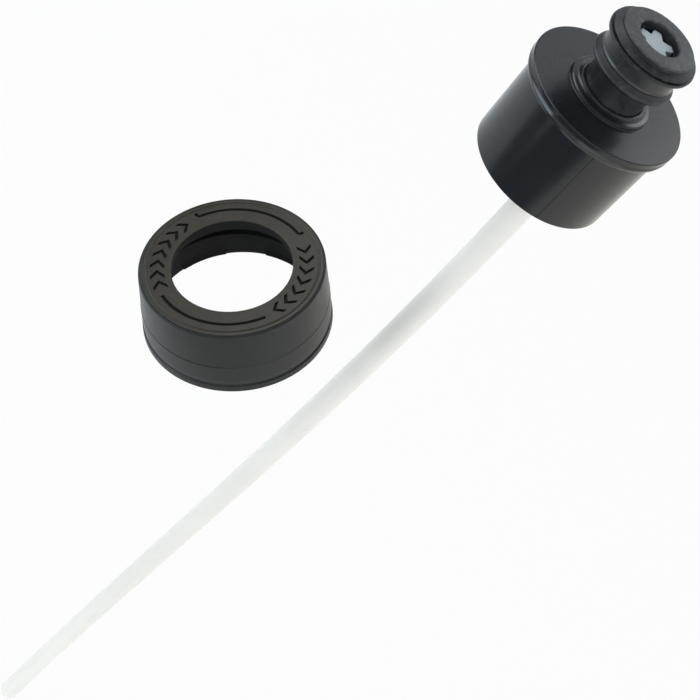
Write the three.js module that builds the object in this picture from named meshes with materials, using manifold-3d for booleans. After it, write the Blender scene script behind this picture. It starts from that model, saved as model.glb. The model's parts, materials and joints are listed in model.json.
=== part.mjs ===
// Bottle insert for a closed-loop dispensing system, taken out of its bottle: a moulded body
// with a spring-closed nozzle, a curved dip tube with a ball check valve at its head, and the
// screw-on ring cap lying beside it.
// Millimetres, +Z up along the nozzle. The origin is the centre of the flange's underside,
// the plane that sits on the rim of the bottle's neck.
// Sizes run outwards: the poppet's star sets its bore, the bore sets the head, the head sets
// the stem, and the stem sets the collar, the well and all that fits in them.

import * as THREE from "three";
import { mergeVertices } from "three/addons/utils/BufferGeometryUtils.js";
import Module from "manifold-3d";

const wasm = await Module();
wasm.setup();

// Fits and edge breaks that every piece shares
const runningGap = 0.3;
const pressGap = 0.1;
const restGap = 0.3;
const sealGap = 0.05;
const edgeBreak = 0.2;
const chamfer = 0.3;

// Poppet
const starRadius = 4.0;
const starValleyRadius = 2.3;
const starTipWidth = 1.7;
const starTipFacet = 0.8;
const starArms = 5;
const starFirstArm = 36;
const starProud = 0.35;
const starClearance = 0.35;
const neckPinClearance = 1.15;
const seatOverlap = 0.55;
const headFlowGap = 0.5;
const headThickness = 1.8;
const tailRadius = 1.25;
const tailRecess = 0.9;
const poppetTravel = 4.0;
const poppetSealSection = 0.68;

// Nozzle
const stemWall = 1.4;
const stemExposed = 7.2;
const shoulderStep = 1.8;
const shoulderThickness = 3.2;
const sealLandStep = 0.8;
const sealLandTaper = 0.6;
const sealGrooveStep = 0.5;
const waistStep = 1.56;
const waistLength = 3.8;
const nozzleLipStep = 1.39;
const nozzleLipThickness = 0.35;
const neckWall = 2.55;
const starBoreDepth = 4.6;
const seatHeight = 1.3;

// Rubber seals
const noseSealDepth = 2.7;
const noseSealOverhang = 0.1;
const noseWeb = 1.65;
const noseDiscStep = 1.7;
const noseDiscHeight = 1.0;
const noseRibHeight = 0.5;
const noseGrooveWidth = 0.45;
const noseGrooveDepth = 0.5;
const noseHoleStep = 0.2;
const lowerSealDepth = 2.1;
const lowerSealStep = 0.94;
const oRingSection = 0.65;

// Insert body: flange, skirt and roof
const skirtRadius = 16.1;
const skirtTaper = 0.25;
const skirtDepth = 20.2;
const skirtWall = 1.5;
const seatWidth = 1.5;
const flangeThickness = 3.0;
const flangeLipHeight = 1.1;
const flangeBandSetback = 0.1;
const flangeBandTaper = 0.4;
const flangeEdgeRound = 0.3;
const roofThickness = 2.4;
const ribCount = 6;
const ribThickness = 1.0;
const ribDepth = 6.0;

// Insert body: collar round the stem, and the well that hangs below it
const collarClearance = 0.4;
const collarLipWidth = 0.3;
const collarWidth = 2.1;
const collarShoulderStep = 0.3;
const collarShoulderHeight = 0.85;
const collarHeight = 1.6;
const ledgeDepth = 0.6;
const wellWall = 1.4;
const wellDepth = 9.0;

// Vent valve, through the roof behind the nozzle
const ventStemRadius = 0.6;
const ventDiscGap = 0.25;
const ventDiscThickness = 0.5;
const ventKnobStep = 0.35;
const ventKnobHeight = 1.0;
const ventHoleRadius = 0.45;
const ventHoleCount = 3;

// Return spring and the perforated retainer under it
const springWire = 0.6;
const springTurns = 6.5;
const springTailGap = 1.3;
const retainerThickness = 1.2;
const retainerPocketWall = 0.7;
const retainerBossHeight = 1.9;
const retainerHoleRadius = 0.85;
const retainerHoleCount = 6;

// Lower housing with the ball check valve and the dip tube's socket
const housingWall = 2.2;
const housingStopThickness = 1.6;
const tailClearance = 0.8;
const socketOffset = 2.5;
const socketWall = 1.6;
const socketDepth = 8.4;
const passageLength = 1.0;
const ballRadius = 2.4;
const ballBoreGap = 0.9;
const ballTravel = 1.4;
const ballSeatStep = 0.5;
const ballSeatHeight = 1.6;
const cageThickness = 0.8;
const cageRimWidth = 0.9;
const cageBarWidth = 0.9;

// Dip tube, drawn with the set that it keeps from its coil
const tubeRadius = 3.0;
const tubeWall = 1.0;
const tubeRun = 298;
const tubeStraight = 12;
const tubeCurl = 31.5;
const tubeRecovery = 16.8;
const tubeSag = 4;
const tubeSteps = 26;

// Ring cap. Screwed home, its ridge bears on the flange and its plate stands clear above it.
const capBoreClearance = 1.2;
const capHoleClearance = 3.37;
const capWall = 1.25;
const capDraft = 0.5;
const capEdgeRound = 0.45;
const capPlate = 1.7;
const capHeight = 16.45;
const capStepDepth = 9.1;
const capStep = 0.08;
const capLowerDraft = 0.12;
const capCreaseStep = 0.1;
const capCreaseHeight = 1.2;
const capBeadStep = 0.25;
const capBeadHeight = 1.55;
const capRidgeInset = 1.4;
const capRidgeWidth = 1.0;
const capRidgeDepth = 2.7;
const capStopCount = 6;
const capStopSpan = 32;
const capStopHeight = 1.3;
const capStopDepth = 0.45;
const capStopLift = 0.5;
const capTilt = 29.885;
const capBearing = 209.34;
const capPlace = [-33.26, -40.77, -62.1];

// Facets round a full turn
const wideFacets = 44;
const nozzleFacets = 36;
const smallFacets = 24;
const ringFacets = 28;
const ballFacets = 16;
const holeFacets = 8;
const sectionFacets = 8;
const wireFacets = 5;
const springStepsPerTurn = 12;
const tubeSides = 12;

// Radii, from the star outwards
const starBoreRadius = starRadius + starClearance;
const neckPinRadius = starBoreRadius - neckPinClearance;
const headRadius = starBoreRadius + seatOverlap;
const cavityRadius = headRadius + headFlowGap;
const stemRadius = cavityRadius + stemWall;
const shoulderRadius = stemRadius + shoulderStep;
const wellRadius = shoulderRadius + runningGap;
const wellOuterRadius = wellRadius + wellWall;
const collarBoreRadius = stemRadius + collarClearance;
const collarRadius = collarBoreRadius + collarWidth;
const sealGrooveRadius = stemRadius + sealGrooveStep;
const waistRadius = stemRadius + waistStep;
const nozzleLipRadius = waistRadius + nozzleLipStep;
const neckRadius = starBoreRadius + neckWall;
const flangeRadius = skirtRadius + seatWidth;
const springRadius = tailRadius + springTailGap + springWire / 2;
const ballBoreRadius = ballRadius + ballBoreGap;
const ballSeatRadius = ballRadius - ballSeatStep;

// Heights above the flange, up the nozzle
const flangeTop = flangeThickness;
const roofUnderside = flangeTop - roofThickness;
const sealLandHeight = flangeTop + stemExposed;
const waistBottom = sealLandHeight + lowerSealDepth;
const waistTop = waistBottom + waistLength;
const nozzleLipTop = waistTop + nozzleLipThickness;
const noseSealBottom = nozzleLipTop + sealGap;
const noseSealTop = noseSealBottom + noseSealDepth;
const nozzleTop = noseSealTop - noseWeb - sealGap;
const starTop = nozzleTop + starProud;
const seatTop = nozzleTop - starBoreDepth;
const seatBottom = seatTop - seatHeight;

// Heights below the collar, down to the tube
const shoulderTop = -ledgeDepth - restGap;
const shoulderBottom = shoulderTop - shoulderThickness;
const tailTip = shoulderBottom + tailRecess;
const retainerBottom = shoulderBottom + pressGap;
const retainerTop = retainerBottom + retainerThickness;
const housingTop = shoulderBottom - restGap;
const housingFloor = tailTip - poppetTravel - tailClearance;
const stopTop = -wellDepth - restGap;
const stopBottom = stopTop - housingStopThickness;
const cageTop = housingFloor - pressGap;
const cageBottom = cageTop - cageThickness;

const degrees = Math.PI / 180;

// Closed or axis-to-axis outlines are given as [radius, height] pairs.
function signedArea(outline) {
  return outline.reduce((sum, [r, z], i) => {
    const [nextR, nextZ] = outline[(i + 1) % outline.length];
    return sum + (r * nextZ - nextR * z) / 2;
  }, 0);
}

function revolve(outline, segments, closed = true) {
  const turned = signedArea(outline) < 0 ? [...outline].reverse() : [...outline];
  if (closed) turned.push(turned[0]);
  const points = turned.map(([r, z]) => new THREE.Vector2(r, z));
  const geometry = new THREE.LatheGeometry(points, segments);
  geometry.rotateX(Math.PI / 2);
  return geometry;
}

function arc(centreR, centreZ, radius, fromDegrees, toDegrees, steps) {
  return Array.from({ length: steps + 1 }, (_, i) => {
    const angle = (fromDegrees + ((toDegrees - fromDegrees) * i) / steps) * degrees;
    return [centreR + radius * Math.cos(angle), centreZ + radius * Math.sin(angle)];
  });
}

// Geometry in and out of the boolean library, with shared vertices merged
function toSolid(geometry) {
  const bare = geometry.clone();
  bare.deleteAttribute("normal");
  bare.deleteAttribute("uv");
  const merged = mergeVertices(bare, 1e-4);
  const corners = merged.index.array;
  const kept = [];
  for (let i = 0; i < corners.length; i += 3) {
    const [a, b, c] = [corners[i], corners[i + 1], corners[i + 2]];
    if (a !== b && b !== c && c !== a) kept.push(a, b, c);
  }
  const mesh = new wasm.Mesh({
    numProp: 3,
    vertProperties: new Float32Array(merged.attributes.position.array),
    triVerts: new Uint32Array(kept),
  });
  return new wasm.Manifold(mesh);
}

function toGeometry(solid) {
  const mesh = solid.getMesh();
  const geometry = new THREE.BufferGeometry();
  const positions = new Float32Array(mesh.vertProperties);
  geometry.setAttribute("position", new THREE.BufferAttribute(positions, 3));
  geometry.setIndex(new THREE.BufferAttribute(new Uint32Array(mesh.triVerts), 1));
  geometry.computeVertexNormals();
  return geometry;
}

function revolved(outline, segments, closed = true) {
  return toSolid(revolve(outline, segments, closed));
}

function rod(radius, bottom, top, segments, x = 0, y = 0) {
  const geometry = new THREE.CylinderGeometry(radius, radius, top - bottom, segments);
  geometry.rotateX(Math.PI / 2);
  geometry.translate(x, y, (top + bottom) / 2);
  return toSolid(geometry);
}

// A solid with a ring of holes through it, all between two heights
function drillRing(solid, radius, count, ring, bottom, top, middleY = 0) {
  let drilled = solid;
  for (let i = 0; i < count; i += 1) {
    const angle = 90 * degrees + (i * 360 * degrees) / count;
    const x = ring * Math.cos(angle);
    const y = middleY + ring * Math.sin(angle);
    drilled = drilled.subtract(rod(radius, bottom - chamfer, top + chamfer, holeFacets, x, y));
  }
  return drilled;
}

function ringOf(outerRadius, section, height) {
  const profile = arc(outerRadius - section, height, section, 0, 360, sectionFacets).slice(0, -1);
  return revolve(profile, ringFacets);
}

function circle(radius, sides) {
  const points = Array.from({ length: sides }, (_, i) => {
    const angle = (i / sides) * 2 * Math.PI;
    return new THREE.Vector2(radius * Math.cos(angle), radius * Math.sin(angle));
  });
  return new THREE.Shape(points);
}

function material(color, roughness, metalness = 0) {
  return new THREE.MeshStandardMaterial({ color, roughness, metalness });
}

const blackPlastic = material(0x26292b, 0.35);
const blackRubber = material(0x3a3d3e, 0.8);
const whitePlastic = material(0xdfe6e8, 0.45);
const clearPlastic = material(0xe9ece6, 0.4);
const springSteel = material(0xb9bcc0, 0.25, 1);

// The vent stands midway between the well and the skirt, and its disc fills that space.
const ventCentre = (wellOuterRadius + skirtRadius - skirtWall) / 2;
const ventDiscRadius = (skirtRadius - skirtWall - wellOuterRadius) / 2 - ventDiscGap;

function ribs() {
  const inner = wellOuterRadius - wellWall / 2;
  const outer = skirtRadius - skirtWall / 2;
  const top = roofUnderside + edgeBreak;
  const bottom = roofUnderside - ribDepth;
  return Array.from({ length: ribCount }, (_, i) => {
    const rib = new THREE.BoxGeometry(outer - inner, ribThickness, top - bottom);
    rib.translate((inner + outer) / 2, 0, (top + bottom) / 2);
    rib.rotateZ((i * 360 * degrees) / ribCount);
    return toSolid(rib);
  });
}

function insertBody() {
  const shoulderZ = flangeTop + collarShoulderHeight;
  const collarShoulderRadius = collarRadius - collarShoulderStep;
  const lipZ = flangeTop + collarHeight;
  const lipOuter = collarBoreRadius + collarLipWidth;
  const lipFall = lipZ - shoulderZ;
  const dish = (collarShoulderRadius - lipOuter) / 2;
  const bandRadius = flangeRadius - flangeBandSetback;
  const bandFoot = bandRadius - flangeBandTaper;
  const bandTop = flangeTop - flangeLipHeight;
  const bandMiddle = (bandTop + chamfer) / 2;
  const rimRadius = skirtRadius - skirtTaper;
  const outline = [
    [collarBoreRadius, lipZ - edgeBreak / 2],
    [collarBoreRadius + edgeBreak / 2, lipZ],
    [lipOuter, lipZ],
    [lipOuter + dish * 0.4, lipZ - lipFall * 0.6],
    [lipOuter + dish, shoulderZ + lipFall * 0.1],
    [collarShoulderRadius, shoulderZ],
    [collarRadius, shoulderZ - edgeBreak],
    [collarRadius, flangeTop],
    ...arc(flangeRadius - flangeEdgeRound, flangeTop - flangeEdgeRound, flangeEdgeRound, 90, 0, 2),
    [flangeRadius, bandTop + edgeBreak / 2],
    [bandRadius, bandTop],
    [bandRadius - flangeBandTaper * 0.15, bandMiddle],
    [bandFoot, chamfer],
    [bandFoot - edgeBreak, 0],
    [skirtRadius, 0],
    [rimRadius, edgeBreak / 2 - skirtDepth],
    [rimRadius - edgeBreak / 2, -skirtDepth],
    [rimRadius - skirtWall + edgeBreak, -skirtDepth],
    [rimRadius - skirtWall, edgeBreak - skirtDepth],
    [skirtRadius - skirtWall, roofUnderside],
    [wellOuterRadius, roofUnderside],
    [wellOuterRadius, -wellDepth],
    [wellRadius, -wellDepth],
    [wellRadius, -ledgeDepth],
    [collarBoreRadius, -ledgeDepth],
  ];
  const body = ribs().reduce((sum, rib) => sum.add(rib), revolved(outline, wideFacets));
  const stemHole = ventStemRadius + edgeBreak;
  const above = flangeTop + chamfer;
  const below = roofUnderside - chamfer;
  const bored = body.subtract(rod(stemHole, below, above, holeFacets, 0, ventCentre));
  const ring = ventDiscRadius - ventHoleRadius - edgeBreak / 2;
  return toGeometry(drillRing(bored, ventHoleRadius, ventHoleCount, ring, below, above, ventCentre));
}

function ventValve() {
  const discTop = roofUnderside - pressGap;
  const knobBottom = flangeTop + pressGap;
  const knobRadius = ventStemRadius + ventKnobStep;
  const outline = [
    [0, discTop - ventDiscThickness - edgeBreak],
    [ventDiscRadius * 0.6, discTop - ventDiscThickness],
    [ventDiscRadius, discTop - edgeBreak],
    [ventDiscRadius, discTop],
    [ventStemRadius, discTop],
    [ventStemRadius, knobBottom],
    [knobRadius, knobBottom],
    [knobRadius * 0.6, knobBottom + ventKnobHeight - edgeBreak],
    [0, knobBottom + ventKnobHeight],
  ];
  return revolve(outline, smallFacets / 2, false).translate(0, ventCentre, 0);
}

// A groove for an O-ring round a cylinder, as outline points from its lower edge to its upper
function sealGroove(outerRadius, boreRadius, middle) {
  const half = oRingSection + edgeBreak;
  const floor = boreRadius - 2 * oRingSection - 4 * sealGap;
  return [
    [outerRadius, middle - half],
    [floor, middle - half],
    [floor, middle + half],
    [outerRadius, middle + half],
  ];
}

function nozzle() {
  const landRadius = stemRadius + sealLandStep;
  const pocketRadius = cavityRadius + retainerPocketWall;
  const pocketTop = retainerTop + pressGap;
  const outline = [
    [pocketRadius, shoulderBottom],
    [shoulderRadius, shoulderBottom],
    ...sealGroove(shoulderRadius, wellRadius, (shoulderTop + shoulderBottom) / 2),
    [shoulderRadius, shoulderTop],
    [stemRadius, shoulderTop],
    [stemRadius, sealLandHeight - chamfer - sealLandTaper],
    [landRadius, sealLandHeight - chamfer],
    [landRadius, sealLandHeight],
    [sealGrooveRadius, sealLandHeight],
    [sealGrooveRadius, waistBottom],
    [waistRadius, waistBottom + edgeBreak],
    [waistRadius, waistTop - edgeBreak],
    [waistRadius + edgeBreak, waistTop],
    [nozzleLipRadius, waistTop],
    [nozzleLipRadius, nozzleLipTop],
    [neckRadius, nozzleLipTop],
    [neckRadius, nozzleTop - chamfer],
    [neckRadius - chamfer, nozzleTop],
    [starBoreRadius, nozzleTop],
    [starBoreRadius, seatTop],
    [cavityRadius, seatBottom],
    [cavityRadius, pocketTop],
    [pocketRadius, pocketTop],
  ];
  return revolve(outline, nozzleFacets);
}

function noseSeal() {
  const holeRadius = starBoreRadius + noseHoleStep;
  const outer = nozzleLipRadius + noseSealOverhang;
  const discRadius = outer - noseDiscStep;
  const discFoot = noseSealTop - noseDiscHeight;
  const grooveRadius = outer - noseGrooveDepth;
  const ribTop = noseSealBottom + noseRibHeight;
  const grooveTop = ribTop + noseGrooveWidth;
  const webBottom = noseSealTop - noseWeb;
  const outline = [
    [holeRadius, webBottom],
    [holeRadius, noseSealTop - chamfer],
    [holeRadius + chamfer, noseSealTop],
    [discRadius - 2 * edgeBreak, noseSealTop - edgeBreak / 2],
    [discRadius, noseSealTop - 2 * edgeBreak],
    [discRadius - edgeBreak / 2, discFoot],
    [outer - 2 * edgeBreak, grooveTop + edgeBreak],
    [outer - edgeBreak, grooveTop],
    [grooveRadius, grooveTop],
    [grooveRadius, ribTop],
    [outer, ribTop],
    [outer, noseSealBottom + edgeBreak / 2],
    [outer - edgeBreak / 2, noseSealBottom],
    [neckRadius + sealGap, noseSealBottom],
    [neckRadius + sealGap, webBottom],
  ];
  return revolve(outline, nozzleFacets);
}

function lowerSeal() {
  const inner = sealGrooveRadius + sealGap;
  const outer = waistRadius + lowerSealStep;
  const bottom = sealLandHeight + sealGap;
  const top = waistBottom - sealGap;
  const outline = [
    [inner, bottom],
    [outer - chamfer, bottom],
    [outer, bottom + chamfer],
    [outer, bottom + lowerSealDepth * 0.35],
    [outer - lowerSealStep / 2, bottom + lowerSealDepth * 0.7],
    [waistRadius + sealGap, top - edgeBreak],
    [waistRadius - edgeBreak, top],
    [inner, top],
  ];
  return revolve(outline, nozzleFacets);
}

function starOutline() {
  const shape = new THREE.Shape();
  const step = 360 / starArms;
  const halfTip = starTipWidth / 2;
  const shoulder = Math.sqrt(starRadius ** 2 - halfTip ** 2);
  const corners = [[shoulder, -starTipFacet], [starRadius, 0], [shoulder, starTipFacet]];
  for (let i = 0; i < starArms; i += 1) {
    const arm = (starFirstArm + i * step) * degrees;
    const valley = arm + (step / 2) * degrees;
    const along = new THREE.Vector2(Math.cos(arm), Math.sin(arm));
    for (const [reach, side] of corners) {
      const x = along.x * reach - along.y * side * halfTip;
      const y = along.y * reach + along.x * side * halfTip;
      if (i === 0 && side < 0) shape.moveTo(x, y);
      else shape.lineTo(x, y);
    }
    shape.lineTo(starValleyRadius * Math.cos(valley), starValleyRadius * Math.sin(valley));
  }
  shape.closePath();
  return shape;
}

// Poppet heights: its seal lies between head and star, and closes on the cone under the bore.
const headTop = seatBottom - chamfer;
const headBottom = headTop - headThickness;
const poppetSealTop = headTop + sealGap + 2 * poppetSealSection;
const starBottom = poppetSealTop + sealGap;

function poppet() {
  const outline = [
    [0, tailTip],
    [tailRadius - chamfer, tailTip],
    [tailRadius, tailTip + chamfer],
    [tailRadius, headBottom],
    [headRadius - chamfer, headBottom],
    [headRadius, headBottom + chamfer],
    [headRadius, headTop - chamfer],
    [headRadius - chamfer, headTop],
    [neckPinRadius, headTop],
    [neckPinRadius, starBottom + edgeBreak],
    [0, starBottom + edgeBreak],
  ];
  const depth = starTop - starBottom;
  const star = new THREE.ExtrudeGeometry(starOutline(), { depth, bevelEnabled: false });
  star.translate(0, 0, starBottom);
  return toGeometry(revolved(outline, ringFacets, false).add(toSolid(star)));
}

function poppetSeal() {
  const outer = neckPinRadius + sealGap + 2 * poppetSealSection;
  return ringOf(outer, poppetSealSection, poppetSealTop - poppetSealSection);
}

// The spring's end turns lie flat, a wire's thickness apart, and the rest climb evenly.
function springPath() {
  const bottom = retainerTop + springWire / 2 + sealGap;
  const top = headBottom - springWire / 2 - sealGap;
  const endPitch = springWire + sealGap;
  const count = Math.round(springTurns * springStepsPerTurn);
  const points = [];
  for (let i = 0; i <= count; i += 1) {
    const turn = (i / count) * springTurns;
    const climb = THREE.MathUtils.clamp((turn - 1) / (springTurns - 2), 0, 1);
    const ends = Math.min(turn, 1) + Math.max(turn - springTurns + 1, 0);
    const z = bottom + ends * endPitch + climb * (top - bottom - 2 * endPitch);
    const angle = turn * 360 * degrees;
    points.push(new THREE.Vector3(springRadius * Math.cos(angle), springRadius * Math.sin(angle), z));
  }
  return new THREE.CatmullRomCurve3(points);
}

function returnSpring() {
  return new THREE.ExtrudeGeometry(circle(springWire / 2, wireFacets), {
    steps: Math.round(springTurns * springStepsPerTurn),
    extrudePath: springPath(),
  });
}

function springRetainer() {
  const radius = cavityRadius + retainerPocketWall - pressGap;
  const guide = tailRadius + runningGap;
  const bossRadius = springRadius - springWire / 2 - runningGap;
  const bossTop = retainerTop + retainerBossHeight;
  const disc = revolved([
    [guide, retainerBottom],
    [radius, retainerBottom],
    [radius, retainerTop],
    [bossRadius, retainerTop],
    [bossRadius - edgeBreak / 2, bossTop],
    [guide, bossTop],
  ], ringFacets);
  const ring = (springRadius + springWire / 2 + radius) / 2;
  return toGeometry(
    drillRing(disc, retainerHoleRadius, retainerHoleCount, ring, retainerBottom, retainerTop),
  );
}

function nozzleORing() {
  return ringOf(wellRadius - 2 * sealGap, oRingSection, (shoulderTop + shoulderBottom) / 2);
}

// The housing's own seal sits halfway down the length that is inside the well.
const housingSealZ = (housingTop - wellDepth) / 2;

function housingORing() {
  return ringOf(wellRadius - 2 * sealGap, oRingSection, housingSealZ);
}

// The ball rests on a cone, so its height fixes the cone's, and the tube starts below that.
const ballTopAtRest = cageBottom - sealGap - ballTravel;
const ballCentre = ballTopAtRest - ballRadius;
const seatSlope = (ballBoreRadius - ballSeatRadius) / ballSeatHeight;
const seatReach = ((ballRadius + sealGap) * Math.hypot(1, seatSlope) - ballSeatRadius) / seatSlope;
const ballSeatBottom = ballCentre - seatReach;
const ballSeatTop = ballSeatBottom + ballSeatHeight;
const tubeTop = ballSeatBottom - passageLength;
const socketBottom = tubeTop - socketDepth;

function lowerHousing() {
  const cupRadius = shoulderRadius - housingWall;
  const cup = revolved([
    [0, stopBottom],
    [wellOuterRadius - chamfer, stopBottom],
    [wellOuterRadius, stopBottom + chamfer],
    [wellOuterRadius, stopTop],
    [shoulderRadius, stopTop],
    ...sealGroove(shoulderRadius, wellRadius, housingSealZ),
    [shoulderRadius, housingTop],
    [cupRadius, housingTop],
    [cupRadius, housingFloor],
    [0, housingFloor],
  ], nozzleFacets, false);
  const socketBore = tubeRadius + pressGap;
  const socketRadius = socketBore + socketWall;
  const chamberRadius = ballBoreRadius + socketWall;
  const stem = toSolid(revolve([
    [0, socketBottom],
    [socketRadius - chamfer, socketBottom],
    [socketRadius, socketBottom + chamfer],
    [socketRadius, tubeTop],
    [chamberRadius, ballSeatTop],
    [chamberRadius, stopBottom + chamfer],
    [0, stopBottom + chamfer],
  ], ringFacets, false).translate(socketOffset, 0, 0));
  const passage = toSolid(revolve([
    [0, socketBottom - chamfer],
    [socketBore, socketBottom - chamfer],
    [socketBore, tubeTop],
    [ballSeatRadius, tubeTop],
    [ballSeatRadius, ballSeatBottom],
    [ballBoreRadius, ballSeatTop],
    [ballBoreRadius, housingFloor + chamfer],
    [0, housingFloor + chamfer],
  ], smallFacets, false).translate(socketOffset, 0, 0));
  return toGeometry(cup.add(stem).subtract(passage));
}

function ballCage() {
  const outer = ballBoreRadius - pressGap;
  const inner = outer - cageRimWidth;
  const rim = revolved([
    [inner, cageBottom],
    [outer, cageBottom],
    [outer, cageTop],
    [inner, cageTop],
  ], smallFacets);
  const bar = new THREE.BoxGeometry(2 * inner + cageRimWidth, cageBarWidth, cageThickness);
  bar.translate(0, 0, (cageTop + cageBottom) / 2);
  const cross = bar.clone().rotateZ(Math.PI / 2);
  const cage = rim.add(toSolid(bar)).add(toSolid(cross));
  return toGeometry(cage).translate(socketOffset, 0, 0);
}

function checkBall() {
  const outline = arc(0, ballCentre, ballRadius, -90, 90, ballFacets / 2);
  return revolve(outline, ballFacets, false).translate(socketOffset, 0, 0);
}

// The tube leaves its socket straight, then keeps a slow sideways curl and a slight sag.
class TubeLine extends THREE.Curve {
  constructor(overrun) {
    super();
    this.overrun = overrun;
  }

  getPoint(share, target = new THREE.Vector3()) {
    const length = tubeStraight + tubeRun;
    const down = share * (length + 2 * this.overrun) - this.overrun;
    const run = Math.max(down - tubeStraight, 0) / tubeRun;
    const x = socketOffset - tubeCurl * run ** 2 + tubeRecovery * run ** 3;
    return target.set(x, -tubeSag * run ** 2, tubeTop - pressGap - down);
  }
}

function dipTube() {
  const sweep = (radius, overrun) => {
    const options = { steps: tubeSteps, extrudePath: new TubeLine(overrun) };
    return toSolid(new THREE.ExtrudeGeometry(circle(radius, tubeSides), options));
  };
  return toGeometry(sweep(tubeRadius, 0).subtract(sweep(tubeRadius - tubeWall, 1)));
}

// The cap's bore clears the flange, its hole clears the collar, and its ridge bears on the
// flange over the neck's rim. Heights run down from its face.
const capBoreRadius = flangeRadius + capBoreClearance;
const capHoleRadius = collarRadius + capHoleClearance;
const capRidgeRadius = skirtRadius - capRidgeInset;
const capRimHeight = -capHeight;

// A slice of the cap's bore between two angles, wider than the bore
function wedge(fromDegrees, toDegrees, bottom, height) {
  const reach = 2 * capBoreRadius;
  const shape = new THREE.Shape();
  shape.moveTo(0, 0);
  shape.lineTo(reach * Math.cos(fromDegrees * degrees), reach * Math.sin(fromDegrees * degrees));
  shape.lineTo(reach * Math.cos(toDegrees * degrees), reach * Math.sin(toDegrees * degrees));
  shape.closePath();
  const geometry = new THREE.ExtrudeGeometry(shape, { depth: height, bevelEnabled: false });
  return toSolid(geometry.translate(0, 0, bottom));
}

// Short beads round the foot of the bore, one ring of them with equal gaps
function capStops() {
  const bottom = capRimHeight + capStopLift;
  const top = bottom + capStopHeight;
  const inner = capBoreRadius - capStopDepth;
  const ring = revolved([
    [inner, bottom + capStopDepth],
    [capBoreRadius + chamfer, bottom],
    [capBoreRadius + chamfer, top],
    [inner, top - chamfer],
  ], wideFacets);
  const pitch = 360 / capStopCount;
  const halfGap = (pitch - capStopSpan) / 2;
  return Array.from({ length: capStopCount }, (_, i) => (i + 0.5) * pitch).reduce((stops, middle) => {
    return stops.subtract(wedge(middle - halfGap, middle + halfGap, bottom - 1, capStopHeight + 2));
  }, ring);
}

function ringCap() {
  const upperRadius = capBoreRadius + capWall;
  const topRadius = upperRadius - capDraft;
  const stepRadius = upperRadius + capStep;
  const lowerRadius = stepRadius + capLowerDraft;
  const beadRadius = lowerRadius + capBeadStep;
  const beadTop = capRimHeight + capBeadHeight;
  const ridgeIn = capRidgeRadius - capRidgeWidth / 2;
  const ridgeOut = capRidgeRadius + capRidgeWidth / 2;
  const ridgeBottom = -capPlate - capRidgeDepth;
  const outline = [
    [capHoleRadius, -capPlate],
    [capHoleRadius, -chamfer],
    [capHoleRadius + chamfer, 0],
    ...arc(topRadius - capEdgeRound, -capEdgeRound, capEdgeRound, 90, 0, 3),
    [upperRadius, -capStepDepth],
    [stepRadius, -capStepDepth - edgeBreak],
    [lowerRadius, beadTop + capCreaseHeight],
    [lowerRadius - capCreaseStep, beadTop],
    [beadRadius - edgeBreak / 2, beadTop - edgeBreak],
    [beadRadius, beadTop - 2 * edgeBreak],
    [beadRadius, capRimHeight + edgeBreak],
    [beadRadius - edgeBreak, capRimHeight],
    [capBoreRadius + edgeBreak, capRimHeight],
    [capBoreRadius, capRimHeight + edgeBreak],
    [capBoreRadius, -capPlate],
    [ridgeOut, -capPlate],
    [ridgeOut - edgeBreak, ridgeBottom],
    [ridgeIn + edgeBreak, ridgeBottom],
    [ridgeIn, -capPlate],
  ];
  return toGeometry(revolved(outline, wideFacets).add(capStops()));
}

const object = new THREE.Group();
const insert = new THREE.Group();
const loosenedCap = new THREE.Group();
object.add(insert, loosenedCap);

// The cap lies apart, tilted on its own centre line.
loosenedCap.position.set(...capPlace);
loosenedCap.rotation.set(0, capTilt * degrees, capBearing * degrees, "ZYX");

function place(name, geometry, look, group = insert) {
  const mesh = new THREE.Mesh(geometry, look);
  mesh.name = name;
  group.add(mesh);
}

place("insert_body", insertBody(), blackPlastic);
place("vent_valve", ventValve(), blackRubber);
place("nozzle", nozzle(), blackPlastic);
place("nose_seal", noseSeal(), blackRubber);
place("lower_seal", lowerSeal(), blackRubber);
place("poppet", poppet(), whitePlastic);
place("poppet_seal", poppetSeal(), blackRubber);
place("return_spring", returnSpring(), springSteel);
place("spring_retainer", springRetainer(), whitePlastic);
place("nozzle_o_ring", nozzleORing(), blackRubber);
place("housing_o_ring", housingORing(), blackRubber);
place("lower_housing", lowerHousing(), blackPlastic);
place("ball_cage", ballCage(), whitePlastic);
place("check_ball", checkBall(), springSteel);
place("dip_tube", dipTube(), clearPlastic);
place("ring_cap", ringCap(), blackPlastic, loosenedCap);

export default object;
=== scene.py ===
"""Finish model of a bottle insert with its ring cap lying beside it.

Shapes are drawn in millimetres in each piece's own place and turned into metres at the end.
"""
import json
import math

import bmesh
import bpy
from mathutils import Matrix, Vector


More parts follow.
